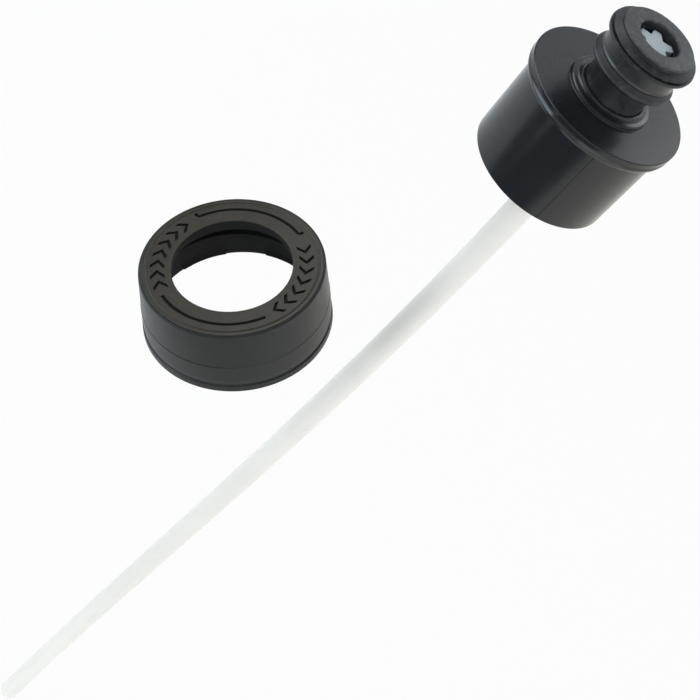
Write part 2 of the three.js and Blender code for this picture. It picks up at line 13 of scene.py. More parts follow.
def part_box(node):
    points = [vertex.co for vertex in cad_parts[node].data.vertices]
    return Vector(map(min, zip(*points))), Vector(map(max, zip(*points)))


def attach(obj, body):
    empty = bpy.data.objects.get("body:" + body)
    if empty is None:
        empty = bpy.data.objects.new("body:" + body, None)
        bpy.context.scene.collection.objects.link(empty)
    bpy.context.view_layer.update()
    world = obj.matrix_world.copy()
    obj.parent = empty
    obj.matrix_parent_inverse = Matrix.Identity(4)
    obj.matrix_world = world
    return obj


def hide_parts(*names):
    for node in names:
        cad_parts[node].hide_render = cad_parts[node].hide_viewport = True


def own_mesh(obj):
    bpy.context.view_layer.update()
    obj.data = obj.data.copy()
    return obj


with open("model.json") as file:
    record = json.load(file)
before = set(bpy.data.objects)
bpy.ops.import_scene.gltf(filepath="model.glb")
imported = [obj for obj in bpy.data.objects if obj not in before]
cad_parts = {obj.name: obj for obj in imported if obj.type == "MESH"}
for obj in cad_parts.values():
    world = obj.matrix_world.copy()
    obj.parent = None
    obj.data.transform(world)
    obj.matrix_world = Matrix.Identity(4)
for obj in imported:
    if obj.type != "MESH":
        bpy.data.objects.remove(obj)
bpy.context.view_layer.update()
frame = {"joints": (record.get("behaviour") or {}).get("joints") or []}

MM = 0.001
TURN = 2 * math.pi


def node_box(name):
    """Lowest and highest corner of a CAD node, in millimetres."""
    low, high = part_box(name)
    return low / MM, high / MM


# Sizes from the frame, in millimetres
BODY_LOW, BODY_HIGH = node_box("insert_body")
FLANGE_R = BODY_HIGH.x
SKIRT_FOOT = BODY_LOW.z
COLLAR_TOP = BODY_HIGH.z
NOZZLE_LOW, NOZZLE_HIGH = node_box("nozzle")
NOSE_LOW, NOSE_HIGH = node_box("nose_seal")
BEAD_LOW, BEAD_HIGH = node_box("lower_seal")
POPPET_LOW, POPPET_HIGH = node_box("poppet")
HOUSING_LOW, HOUSING_HIGH = node_box("lower_housing")
CAGE_LOW, CAGE_HIGH = node_box("ball_cage")
BALL_LOW, BALL_HIGH = node_box("check_ball")
TUBE_LOW, TUBE_HIGH = node_box("dip_tube")
SPRING_LOW, SPRING_HIGH = node_box("return_spring")
RETAINER_LOW, RETAINER_HIGH = node_box("spring_retainer")
VENT_LOW, VENT_HIGH = node_box("vent_valve")

JOINTS = {joint["name"]: joint for joint in frame["joints"]}
CAP_AXIS = Vector(JOINTS["cap_turn"]["axis"])
CAP_PLACE = Vector(JOINTS["cap_turn"]["pos_m"]) / MM
CAP_MATRIX = (
    Matrix.Translation(CAP_PLACE)
    @ Matrix.Rotation(math.atan2(CAP_AXIS.y, CAP_AXIS.x), 4, "Z")
    @ Matrix.Rotation(math.acos(CAP_AXIS.z), 4, "Y")
)

# Sizes that several pieces share
FLANGE_T = 3.0
ROOF_T = 2.4
SKIRT_R = 16.1
SKIRT_TAPER = 0.25
SKIRT_WALL = 1.5
STEM_R = 6.8
COLLAR_BORE = 7.2
COLLAR_R = 9.3
WELL_R = 8.9
WELL_WALL = 1.4
WELL_FOOT = -9.0
SHOULDER_R = 8.6
CAVITY_R = 5.4
STAR_BORE = 4.35
SEAL_GROOVE_R = 7.3
WAIST_R = 8.36
NECK_R = 6.9
LEDGE_Z = -0.6
ROOF_Z = FLANGE_T - ROOF_T
SOCKET_X = 2.5

# Gaps between pieces that turn or slide, that fit together, and that seal
RUN_GAP = 0.3
FIT_GAP = 0.1
SEAL_GAP = 0.05

# Distances within which points are welded, lie on a corner's ring, or lie on one level
WELD = 1e-4
RING_SLACK = 2e-3
LEVEL_SLACK = 1e-3

# Corners sharper than this stay sharp
SHARP_ANGLE = math.radians(50)


# ---------------------------------------------------------------- modelling helpers

def turned(outline, steps=160, corner_steps=3):
    """A closed outline of (radius, height[, corner width]) turned round the Z axis."""
    bm = bmesh.new()
    verts = [bm.verts.new((point[0], 0, point[1])) for point in outline]
    for a, b in zip(verts, verts[1:] + verts[:1]):
        bm.edges.new((a, b))
    bmesh.ops.spin(
        bm, geom=bm.verts[:] + bm.edges[:], axis=(0, 0, 1), cent=(0, 0, 0), dvec=(0, 0, 0),
        angle=TURN, steps=steps, use_merge=True,
    )
    bmesh.ops.remove_doubles(bm, verts=bm.verts, dist=WELD)
    bmesh.ops.dissolve_degenerate(bm, edges=bm.edges, dist=WELD / 10)
    bmesh.ops.recalc_face_normals(bm, faces=bm.faces)
    for radius, height, width in (point for point in outline if len(point) == 3):
        ring = [edge for edge in bm.edges if on_ring(edge, radius, height)]
        round_edges(bm, ring, width, corner_steps)
    return bm


def on_ring(edge, radius, height):
    return all(
        abs(v.co.z - height) < RING_SLACK
        and abs(math.hypot(v.co.x, v.co.y) - radius) < RING_SLACK
        for v in edge.verts
    )


def round_edges(bm, edges, width, steps):
    bmesh.ops.bevel(
        bm, geom=edges, offset=width, offset_type="OFFSET", segments=steps, profile=0.5,
        affect="EDGES", clamp_overlap=True, material=-1,
    )


def prism(corners, low, high, flare=1.0):
    """A flat outline raised from one height to another, its upper face scaled by the flare."""
    bm = bmesh.new()
    face = bm.faces.new([bm.verts.new((x, y, low)) for x, y in corners])
    raised = bmesh.ops.extrude_face_region(bm, geom=[face])["geom"]
    upper = [item for item in raised if isinstance(item, bmesh.types.BMVert)]
    bmesh.ops.translate(bm, vec=(0, 0, high - low), verts=upper)
    bmesh.ops.scale(bm, vec=(flare, flare, 1), verts=upper)
    bmesh.ops.recalc_face_normals(bm, faces=bm.faces)
    return bm


def block(size, centre):
    bm = bmesh.new()
    bmesh.ops.create_cube(bm, size=1)
    bmesh.ops.scale(bm, vec=size, verts=bm.verts)
    bmesh.ops.translate(bm, vec=centre, verts=bm.verts)
    return bm


def rod(radius, bottom, top, x, y, sides=32):
    bm = bmesh.new()
    bmesh.ops.create_cone(
        bm, cap_ends=True, segments=sides, radius1=radius, radius2=radius, depth=top - bottom
    )
    bmesh.ops.translate(bm, vec=(x, y, (top + bottom) / 2), verts=bm.verts)
    return bm


def moved(bm, x, y=0, z=0):
    bmesh.ops.translate(bm, vec=(x, y, z), verts=bm.verts)
    return bm


def rotated(bm, angle, axis="Z"):
    bmesh.ops.transform(bm, matrix=Matrix.Rotation(angle, 4, axis), verts=bm.verts)
    return bm


def joined(*parts):
    """Several shapes as one bmesh, without cutting them."""
    whole = bmesh.new()
    for part in parts:
        mesh = bpy.data.meshes.new("part")
        part.to_mesh(mesh)
        part.free()
        whole.from_mesh(mesh)
        bpy.data.meshes.remove(mesh)
    return whole


def swept(section, frames, closed_ends=True):
    """A closed ring of points carried from one matrix to the next."""
    bm = bmesh.new()
    verts = [bm.verts.new(frames[0] @ Vector((x, y, 0))) for x, y in section]
    edges = [bm.edges.new((a, b)) for a, b in zip(verts, verts[1:] + verts[:1])]
    if closed_ends:
        bm.faces.new(verts)
    for before, after in zip(frames, frames[1:]):
        grown = bmesh.ops.extrude_edge_only(bm, edges=edges)["geom"]
        verts = [item for item in grown if isinstance(item, bmesh.types.BMVert)]
        edges = [
            item for item in grown
            if isinstance(item, bmesh.types.BMEdge) and all(v in verts for v in item.verts)
        ]
        bmesh.ops.transform(bm, matrix=after @ before.inverted(), verts=verts)
    if closed_ends:
        bmesh.ops.contextual_create(bm, geom=edges)
    bmesh.ops.recalc_face_normals(bm, faces=bm.faces)
    return bm


def ring_points(radius, sides):
    return [
        (radius * math.cos(TURN * i / sides), radius * math.sin(TURN * i / sides))
        for i in range(sides)
    ]


def hole_places(radius, count):
    """The places of a ring of holes, the first of them at the back."""
    angles = [math.radians(90 + 360 / count * i) for i in range(count)]
    return [(radius * math.cos(angle), radius * math.sin(angle)) for angle in angles]


def carved(bm, cutter, operation="DIFFERENCE"):
    """The exact boolean of two shapes, as a new bmesh."""
    base = raw_object("base", bm)
    tool = raw_object("tool", cutter)
    step = base.modifiers.new("cut", "BOOLEAN")
    step.object = tool
    step.operation = operation
    step.solver = "EXACT"
    bpy.context.view_layer.update()
    result = bmesh.new()
    result.from_mesh(base.evaluated_get(bpy.context.evaluated_depsgraph_get()).data)
    for item in (base, tool):
        mesh = item.data
        bpy.data.objects.remove(item)
        bpy.data.meshes.remove(mesh)
    bmesh.ops.remove_doubles(result, verts=result.verts, dist=WELD)
    bmesh.ops.dissolve_degenerate(result, edges=result.edges, dist=WELD)
    return result


def raw_object(name, bm):
    mesh = bpy.data.meshes.new(name)
    bm.to_mesh(mesh)
    bm.free()
    item = bpy.data.objects.new(name, mesh)
    bpy.context.scene.collection.objects.link(item)
    return item


def piece(name, bm, body, look, nodes, place=None, crisp=True):
    """Turns a shape in millimetres into a finished piece that stands for its CAD nodes."""
    if place is not None:
        bmesh.ops.transform(bm, matrix=place, verts=bm.verts)
    bmesh.ops.scale(bm, vec=(MM, MM, MM), verts=bm.verts)
    for face in bm.faces:
        face.smooth = True
    item = raw_object(name, bm)
    item.data.materials.append(look)
    if crisp:
        item.data.set_sharp_from_angle(angle=SHARP_ANGLE)
        even = item.modifiers.new("even_shading", "WEIGHTED_NORMAL")
        even.keep_sharp = True
    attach(item, body)
    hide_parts(*nodes)
    return item


# ---------------------------------------------------------------- shader helpers

class Wire:
    """A shader socket that adds Math nodes when it is used in an expression."""

    def __init__(self, look, socket):
        self.look = look
        self.socket = socket

    def _math(self, operation, *values):
        return self.look.node("ShaderNodeMath", {"operation": operation}, values)

    def __add__(self, other):
        return self._math("ADD", self, other)

    def __sub__(self, other):
        return self._math("SUBTRACT", self, other)

    def __rsub__(self, other):
        return self._math("SUBTRACT", other, self)

    def __mul__(self, other):
        return self._math("MULTIPLY", self, other)

    __radd__ = __add__
    __rmul__ = __mul__


class Look:
    """The node tree of a material or a world. Its method node() makes every node."""

    def __init__(self, owner, output="ShaderNodeOutputMaterial"):
        owner.use_nodes = True
        self.owner = owner
        self.tree = owner.node_tree
        self.tree.nodes.clear()
        self.output = self.tree.nodes.new(output)

    def node(self, kind, settings=None, inputs=(), out=0):
        """A node of a type, its settings, its sockets by number or name, and the output used."""
        made = self.tree.nodes.new(kind)
        for key, value in (settings or {}).items():
            setattr(made, key, value)
        pairs = inputs.items() if isinstance(inputs, dict) else enumerate(inputs)
        for key, value in pairs:
            socket = made.inputs[key]
            if isinstance(value, Wire):
                self.tree.links.new(value.socket, socket)
            elif isinstance(value, tuple) and socket.type == "RGBA":
                socket.default_value = (*value, 1)
            elif value is not None:
                socket.default_value = value
        return Wire(self, made.outputs[out])

    def place(self):
        return self.node("ShaderNodeTexCoord", out="Object")

    def axis(self, name):
        return self.node("ShaderNodeSeparateXYZ", inputs=[self.place()], out=name)

    def vector(self, operation, first, second, out=0):
        return self.node("ShaderNodeVectorMath", {"operation": operation}, [first, second], out)

    def noise(self, scale, detail=3.0, rough=0.55, at=None):
        sockets = {
            "Vector": at or self.place(), "Scale": scale, "Detail": detail, "Roughness": rough,
        }
        return self.node("ShaderNodeTexNoise", inputs=sockets)

    def ramp(self, value, low, high, to_low=0.0, to_high=1.0):
        settings = {"interpolation_type": "SMOOTHSTEP"}
        return self.node("ShaderNodeMapRange", settings, [value, low, high, to_low, to_high])

    def blend(self, share, first, second):
        sockets = {0: share, 6: first, 7: second}
        return self.node("ShaderNodeMix", {"data_type": "RGBA"}, sockets, 2)

    def bump(self, height, depth, under=None):
        sockets = {"Height": height, "Distance": depth * MM, "Normal": under}
        return self.node("ShaderNodeBump", inputs=sockets)

    def finish(self, colour, roughness, normal=None, **constants):
        sockets = {"Base Color": colour, "Roughness": roughness, "Normal": normal}
        sockets.update({key.replace("_", " "): value for key, value in constants.items()})
        return self.show(self.node("ShaderNodeBsdfPrincipled", inputs=sockets))

    def show(self, shader):
        self.tree.links.new(shader.socket, self.output.inputs["Surface"])
        return self.owner


def new_look(name):
    return Look(bpy.data.materials.new(name))


def drawn_out(look, stretch):
    """Object coordinates squeezed along Z, so that a noise draws into upright streaks."""
    return look.vector("MULTIPLY", look.place(), (1.0, 1.0, 1 / stretch))


def body_black():
    """The body's plastic: satin on the flange and collar, polished with faint streaks below."""
    look = new_look("body_black")
    height = look.axis("Z")
    satin = look.ramp(height, (FLANGE_T - 0.3) * MM, (FLANGE_T - 0.1) * MM)
    clouds = look.noise(70, 3)
    scuffs = look.noise(420, 3)
    streaks = look.noise(160, 3, at=drawn_out(look, 30))
    mottle = look.ramp(clouds * 0.45 + scuffs * 0.2 + streaks * 0.35, 0.35, 0.65)
    colour = look.blend(mottle, BODY_DARK, BODY_LIGHT)
    rough = mottle * 0.05 + satin * 0.12 + BODY_ROUGH
    normal = look.bump(look.noise(2200, 2), 0.0008)
    return look.finish(colour, rough, normal, IOR=PLASTIC_IOR)


def moulded_black(name, dark, light, rough_low, rough_high):
    """Moulded plastic: deep colour, faint flow clouds, pale patches that are partly smudge marks
    and partly painted glints, a slightly uneven gloss.
    """
    look = new_look(name)
    clouds = look.noise(130, 3)
    streaks = look.noise(300, 3, at=drawn_out(look, 12))
    mottle = look.ramp(clouds * 0.5 + streaks * 0.5, 0.35, 0.65)
    # Pale warm patches: partly smudge marks, partly painted glints that stand in for highlights.
    smudge_and_glint_patches = look.ramp(look.noise(170, 4, 0.6), 0.46, 0.76) * SMUDGE_AND_GLINT_SHARE
    colour = look.blend(smudge_and_glint_patches, look.blend(mottle, dark, light), SMUDGE_AND_GLINT_GREY)
    rough = look.ramp(mottle, 0.0, 1.0, rough_low, rough_high)
    return look.finish(colour, rough, look.bump(look.noise(2200, 2), 0.0015), IOR=PLASTIC_IOR)


def moulded_rubber(name, dark, light, worn_above=None):
    """Moulded rubber: matte, with a fine grain, pale bloom, small specks and handling scuffs.

    Above the height worn_above, where it is given, the rubber is paler and patchy with wear.
    """
    look = new_look(name)
    bloom = look.noise(240, 5, 0.7)
    scuffs = look.ramp(look.noise(520, 4, 0.7), 0.52, 0.68)
    specks = look.ramp(look.noise(1500, 2), 0.68, 0.76)
    shade = look.blend(look.ramp(bloom, 0.3, 0.7), dark, light)
    if worn_above is not None:
        edge = WEAR_EDGE / 2
        worn = look.ramp(look.axis("Z"), (worn_above - edge) * MM, (worn_above + edge) * MM)
        shade = look.blend(worn * look.ramp(bloom, 0.2, 0.6, 0.45, 0.8), shade, WORN_RUBBER)
        patches = look.ramp(look.noise(900, 3, 0.7), 0.48, 0.64)
        shade = look.blend(worn * patches * 0.7, shade, PATCH_RUBBER)
    colour = look.blend(specks * 0.3 + scuffs * 0.16, shade, SPECK_GREY)
    rough = look.ramp(bloom, 0.3, 0.7, 0.4, 0.54) + scuffs * 0.08
    grain = look.bump(look.noise(1300, 4, 0.65), 0.012)
    normal = look.bump(look.noise(230, 3), 0.05, grain)
    return look.finish(colour, rough, normal, IOR=PLASTIC_IOR)


def acetal_white():
    """Natural acetal: a cool white with a faint cloud in it."""
    look = new_look("acetal_white")
    clouds = look.noise(220, 3)
    colour = look.blend(look.ramp(clouds, 0.3, 0.7), ACETAL_DARK, ACETAL_LIGHT)
    rough = look.ramp(clouds, 0.3, 0.7, 0.34, 0.44)
    return look.finish(colour, rough, look.bump(look.noise(2000, 3), 0.003), IOR=ACETAL_IOR)


def tube_milk():
    """Natural polyethylene pipe: milky, with faint draw lines along its length."""
    look = new_look("tube_milk")
    lines = look.noise(700, 3, at=drawn_out(look, 60))
    clouds = look.noise(30, 3)
    mix = look.ramp(clouds * 0.6 + lines * 0.4, 0.35, 0.65)
    colour = look.blend(mix, TUBE_DARK, TUBE_LIGHT)
    rough = look.ramp(lines, 0.3, 0.7, 0.34, 0.46)
    return look.finish(colour, rough, look.bump(lines, 0.01), IOR=TUBE_IOR)


def cap_black():
    """The cap's plastic: a warmer, lighter face that is painted warm light, satin sides, and a
    darker bore and mark floors that are painted shade.
    """
    look = new_look("cap_black")
    offset = look.vector("SUBTRACT", look.place(), tuple(CAP_PLACE * MM))
    height = look.vector("DOT_PRODUCT", offset, tuple(CAP_AXIS), out=1)
    reach = look.vector("CROSS_PRODUCT", offset, tuple(CAP_AXIS))
    radius = look.node("ShaderNodeVectorMath", {"operation": "LENGTH"}, [reach], 1)
    # Below the face's level, in the floors of the marks' grooves, the colour turns to the bore's
    # painted shade.
    level = look.ramp(height, -0.22 * MM, -0.06 * MM)
    face = level * look.ramp(radius, (CAP_EDGE_R - 0.1) * MM, (CAP_EDGE_R + 0.1) * MM, 1.0, 0.0)
    outside = look.ramp(radius, CAP_EDGE_R * MM, (CAP_EDGE_R + 0.2) * MM)
    clouds = look.noise(120, 3)
    scuffs = look.noise(500, 4, 0.6)
    mottle = look.ramp(clouds * 0.5 + scuffs * 0.5, 0.3, 0.7)
    side = look.blend(mottle, CAP_SIDE_DARK, CAP_SIDE_LIGHT)
    # Painted shade: the bore, the underside and the grooves' floors are coloured darker than the
    # side.
    inside = look.blend(mottle, CAP_PAINTED_SHADE_DARK, CAP_PAINTED_SHADE_LIGHT)
    # The face's warmer, lighter colour is painted warm light on the top of the cap.
    top = look.blend(mottle, CAP_WARM_LIT_FACE_DARK, CAP_WARM_LIT_FACE_LIGHT)
    colour = look.blend(face, look.blend(outside, inside, side), top)
    rough = mottle * 0.06 + (1 - outside) * (1 - face) * 0.5 + 0.34
    normal = look.bump(look.noise(1500, 3, 0.6), 0.004)
    return look.finish(colour, rough, normal, IOR=CAP_IOR)


def bright_steel(name, rough_low, rough_high):
    """Stainless steel with a fine uneven gloss."""
    look = new_look(name)
    drawn = look.noise(1400, 4, 0.6)
    colour = look.blend(look.ramp(drawn, 0.3, 0.7), STEEL_DARK, STEEL_LIGHT)
    rough = look.ramp(drawn, 0.3, 0.7, rough_low, rough_high)
    return look.finish(colour, rough, look.bump(drawn, 0.002), Metallic=1.0)


# Colours: the dark and the light end of each look's mottle
BODY_DARK = (0.0075, 0.0095, 0.0125)
BODY_LIGHT = (0.0115, 0.0138, 0.0172)
STEM_DARK = (0.014, 0.0165, 0.020)
STEM_LIGHT = (0.025, 0.0275, 0.031)
HOUSING_DARK = (0.010, 0.011, 0.012)
HOUSING_LIGHT = (0.015, 0.016, 0.017)
RUBBER_DARK = (0.0105, 0.0122, 0.0145)
RUBBER_LIGHT = (0.0170, 0.0192, 0.0222)
RING_DARK = (0.012, 0.012, 0.013)
RING_LIGHT = (0.02, 0.02, 0.021)
ACETAL_DARK = (0.37, 0.455, 0.5)
ACETAL_LIGHT = (0.46, 0.53, 0.56)
TUBE_DARK = (0.875, 0.875, 0.84)
TUBE_LIGHT = (0.92, 0.918, 0.89)
STEEL_DARK = (0.56, 0.57, 0.59)
STEEL_LIGHT = (0.68, 0.69, 0.71)
CAP_SIDE_DARK = (0.0075, 0.0102, 0.0122)
CAP_SIDE_LIGHT = (0.0125, 0.0158, 0.0182)
# The cap face's warmer, lighter colours are painted warm light.
CAP_WARM_LIT_FACE_DARK = (0.0185, 0.0160, 0.0088)
CAP_WARM_LIT_FACE_LIGHT = (0.0320, 0.0282, 0.0175)
# Painted shade: darker colours for the bore and the floors of the face's grooves.
CAP_PAINTED_SHADE_DARK = (0.006, 0.0068, 0.0076)
CAP_PAINTED_SHADE_LIGHT = (0.009, 0.010, 0.011)

# Wear: worn and patchy rubber, pale specks, and on the plastic pale patches that are partly smudge
# marks and partly painted glints
WORN_RUBBER = (0.045, 0.049, 0.053)
PATCH_RUBBER = (0.079, 0.086, 0.093)
SPECK_GREY = (0.16, 0.165, 0.17)
SMUDGE_AND_GLINT_GREY = (0.085, 0.085, 0.078)
SMUDGE_AND_GLINT_SHARE = 0.35
WEAR_DEPTH = 0.4
WEAR_EDGE = 0.3

# Gloss
BODY_ROUGH = 0.14
PLASTIC_IOR = 1.5
ACETAL_IOR = 1.48
TUBE_IOR = 1.45
CAP_IOR = 1.42

# The radius, in millimetres, at which the cap's face ends and its side begins
CAP_EDGE_R = 19.1

BODY_BLACK = body_black()
STEM_BLACK = moulded_black("stem_black", STEM_DARK, STEM_LIGHT, 0.24, 0.36)
HOUSING_BLACK = moulded_black("housing_black", HOUSING_DARK, HOUSING_LIGHT, 0.26, 0.4)
NOSE_RUBBER = moulded_rubber("nose_rubber", RUBBER_DARK, RUBBER_LIGHT, NOSE_HIGH.z - WEAR_DEPTH)
SEAL_RUBBER = moulded_rubber("seal_rubber", RUBBER_DARK, RUBBER_LIGHT)
RING_RUBBER = moulded_rubber("ring_rubber", RING_DARK, RING_LIGHT)
ACETAL = acetal_white()
TUBE_MILK = tube_milk()
CAP_BLACK = cap_black()
SPRING_STEEL = bright_steel("spring_steel", 0.18, 0.3)
BALL_STEEL = bright_steel("ball_steel", 0.06, 0.12)


# ---------------------------------------------------------------- insert body

def body_outline():
    """From the collar's lip down the outside to the skirt's foot, and back up the inside."""
    shoulder = FLANGE_T + 0.85
    lip_r = COLLAR_BORE + 0.3
    band_r = FLANGE_R - 0.05
    band_top = FLANGE_T - 1.22
    foot_r = SKIRT_R - SKIRT_TAPER
    return [
        (COLLAR_BORE - 0.22, COLLAR_TOP, 0.06),
        (lip_r, COLLAR_TOP, 0.07),
        (lip_r + 0.3, shoulder + 0.3, 0.25),
        (lip_r + 0.75, shoulder + 0.07, 0.2),
        (COLLAR_R - 0.3, shoulder, 0.05),
        (COLLAR_R, shoulder - 0.2, 0.07),
        (COLLAR_R, FLANGE_T, 0.16),
        (FLANGE_R, FLANGE_T, 0.28),
        (FLANGE_R - 0.02, band_top + 0.08, 0.04),
        (band_r - 0.28, band_top - 0.02, 0.02),
        (band_r, 0.98, 0.05),
        (band_r - 0.14, 0.42, 0.1),
        (band_r - 0.45, 0.05, 0.1),
        (SKIRT_R, 0.0, 0.2),
        (foot_r, SKIRT_FOOT, 0.12),
        (foot_r - SKIRT_WALL, SKIRT_FOOT, 0.12),
        (SKIRT_R - SKIRT_WALL, ROOF_Z, 0.5),
        (WELL_R + WELL_WALL, ROOF_Z, 0.5),
        (WELL_R + WELL_WALL, WELL_FOOT, 0.15),
        (WELL_R, WELL_FOOT, 0.15),
        (WELL_R, LEDGE_Z),
        (COLLAR_BORE, LEDGE_Z),
        (COLLAR_BORE, COLLAR_TOP - 0.7, 0.2),
    ]


RIB_COUNT = 6
RIB_THICKNESS = 1.0
RIB_DEPTH = 6.0
RIB_SUNK = 0.2
PARTING_ANGLE = math.radians(-67)
FLASH_DEPTH = 0.5
FLASH_WIDTH = 0.3
FLASH_SUNK = 0.15
VENT_Y = (VENT_LOW.y + VENT_HIGH.y) / 2
VENT_BORE = 0.8
VENT_HOLE_R = 0.45
VENT_HOLE_RING = 1.4
VENT_HOLE_COUNT = 3


def parting_line():
    """The fine flash that the mould's halves leave down the skirt, on both sides."""
    top = -0.3
    foot = SKIRT_FOOT + 0.15
    lean = math.atan2(SKIRT_TAPER, -SKIRT_FOOT)
    flashes = []
    for angle in (PARTING_ANGLE, PARTING_ANGLE + TURN / 2):
        flash = block((FLASH_DEPTH, FLASH_WIDTH, top - foot), (0, 0, 0))
        rotated(flash, lean, "Y")
        moved(flash, SKIRT_R - SKIRT_TAPER / 2 - FLASH_SUNK, 0, (top + foot) / 2)
        flashes.append(rotated(flash, angle))
    return flashes


def insert_body():
    """The flange, skirt, well and collar, with the ribs under the roof and the vent's holes."""
    bm = turned(body_outline(), 180)
    inner = WELL_R + WELL_WALL / 2
    outer = SKIRT_R - SKIRT_WALL / 2
    height = RIB_DEPTH + RIB_SUNK
    rib_size = (outer - inner, RIB_THICKNESS, height)
    rib_place = ((inner + outer) / 2, 0, ROOF_Z + RIB_SUNK - height / 2)
    ribs = [rotated(block(rib_size, rib_place), TURN * i / RIB_COUNT) for i in range(RIB_COUNT)]
    bm = carved(bm, joined(*ribs, *parting_line()), "UNION")
    low, high = ROOF_Z - 1, FLANGE_T + 1
    holes = [rod(VENT_BORE, low, high, 0, VENT_Y)]
    for x, y in hole_places(VENT_HOLE_RING, VENT_HOLE_COUNT):
        holes.append(rod(VENT_HOLE_R, low, high, x, VENT_Y + y, 16))
    bm = carved(bm, joined(*holes))
    piece("body_moulding", bm, "insert", BODY_BLACK, ["insert_body"])


insert_body()

# ---------------------------------------------------------------- nozzle and its rubber

GROOVE_FLOOR = 7.4
GROOVE_HALF = 0.85
SHOULDER_T = 3.2
POCKET_R = CAVITY_R + 0.7
POCKET_DEPTH = 1.4
WAIST_TO_LIP = 3.85
LIP_T = 0.35
BORE_DEPTH = 4.6
CONE_DEPTH = 5.9


def groove(outer, middle):
    """The outline of an O-ring's groove, from its lower edge to its upper one."""
    low, high = middle - GROOVE_HALF, middle + GROOVE_HALF
    return [
        (outer, low, 0.08), (GROOVE_FLOOR, low, 0.08), (GROOVE_FLOOR, high, 0.08),
        (outer, high, 0.08),
    ]


def nozzle():
    """The hollow nozzle, from its shoulder in the well up to the bore round the star."""
    foot = NOZZLE_LOW.z
    shoulder = foot + SHOULDER_T
    top = NOZZLE_HIGH.z
    lip_r = NOZZLE_HIGH.x
    land = BEAD_LOW.z - SEAL_GAP
    land_r = STEM_R + 0.8
    waist_foot = BEAD_HIGH.z + SEAL_GAP
    lip = BEAD_HIGH.z + WAIST_TO_LIP
    outline = [
        (POCKET_R, foot, 0.08),
        (SHOULDER_R, foot, 0.15),
        *groove(SHOULDER_R, (foot + shoulder) / 2),
        (SHOULDER_R, shoulder, 0.15),
        (STEM_R, shoulder, 0.15),
        (STEM_R, BEAD_LOW.z - 0.95, 0.2),
        (land_r, BEAD_LOW.z - 0.4, 0.1),
        (land_r, land, 0.05),
        (SEAL_GROOVE_R, land),
        (SEAL_GROOVE_R, waist_foot),
        (WAIST_R + 0.1, waist_foot, 0.03),
        (WAIST_R + 0.16, waist_foot + 0.15, 0.05),
        (WAIST_R, waist_foot + 0.65, 0.25),
        (WAIST_R, lip - 0.25, 0.1),
        (WAIST_R + 0.2, lip, 0.05),
        (lip_r, lip, 0.12),
        (lip_r, lip + LIP_T, 0.12),
        (NECK_R, lip + LIP_T),
        (NECK_R, top, 0.2),
        (STAR_BORE, top, 0.1),
        (STAR_BORE, top - BORE_DEPTH, 0.1),
        (CAVITY_R, top - CONE_DEPTH, 0.2),
        (CAVITY_R, foot + POCKET_DEPTH),
        (POCKET_R, foot + POCKET_DEPTH),
    ]
    piece("nozzle_moulding", turned(outline), "insert", STEM_BLACK, ["nozzle"])


def nose_seal():
    """The rubber nose: a disc that widens down to a thin rib at its foot."""
    low, high, outer = NOSE_LOW.z, NOSE_HIGH.z, NOSE_HIGH.x
    hole = STAR_BORE + 0.2
    web_foot = high - 1.65
    inner = NECK_R + SEAL_GAP
    disc = outer - 1.7
    rib_top = low + 0.5
    groove_top = rib_top + 0.45
    groove_r = outer - 0.8
    outline = [
        (hole, web_foot),
        (hole, high, 0.3),
        (disc, high - 0.12, 0.3),
        (disc - 0.1, high - 1.0, 0.12),
        (outer - 0.4, groove_top + 0.22, 0.12),
        (outer - 0.22, groove_top, 0.06),
        (groove_r, groove_top - 0.02, 0.08),
        (groove_r, rib_top + 0.02, 0.08),
        (outer, rib_top - 0.05, 0.12),
        (outer, low, 0.12),
        (inner, low),
        (inner, web_foot),
    ]
    bm = turned(outline, corner_steps=4)
    piece("nose_rubber", bm, "insert", NOSE_RUBBER, ["nose_seal"])


def lower_seal():
    """The rubber bead under the nozzle's waist."""
    low, high, outer = BEAD_LOW.z, BEAD_HIGH.z, BEAD_HIGH.x
    inner = SEAL_GROOVE_R + SEAL_GAP
    outline = [
        (inner, low),
        (outer - 0.28, low, 0.18),
        (outer, low + 0.3, 0.17),
        (outer, low + 0.8, 0.27),
        (outer - 0.5, high - 0.55, 0.3),
        (WAIST_R + 0.12, high - 0.06, 0.05),
        (WAIST_R, high),
        (inner, high),
    ]
    bm = turned(outline, corner_steps=4)
    piece("bead_rubber", bm, "insert", SEAL_RUBBER, ["lower_seal"])


nozzle()
nose_seal()
lower_seal()

# ---------------------------------------------------------------- poppet, its seal and spring

STAR_ARMS = 5
STAR_FIRST = math.radians(36)
STAR_R = 4.0
STAR_VALLEY = 2.3
STAR_TIP = 1.7
STAR_FOOT = 12.76
STAR_SUNK = 0.2
HEAD_R = 4.9
HEAD_TOP = 11.3
HEAD_T = 1.8
TAIL_R = 1.25
PIN_R = 3.2


def star_points():
    """The star's outline: two corners at each arm's tip, and one in each valley."""
    points = []
    half = STAR_TIP / 2
    shoulder = math.sqrt(STAR_R**2 - half**2)
    for i in range(STAR_ARMS):
        arm = STAR_FIRST + TURN * i / STAR_ARMS
        valley = arm + TURN / STAR_ARMS / 2
        for reach, side in ((shoulder, -half), (shoulder, half)):
            x = math.cos(arm) * reach - math.sin(arm) * side
            y = math.sin(arm) * reach + math.cos(arm) * side
            points.append((x, y))
        points.append((STAR_VALLEY * math.cos(valley), STAR_VALLEY * math.sin(valley)))
    return points


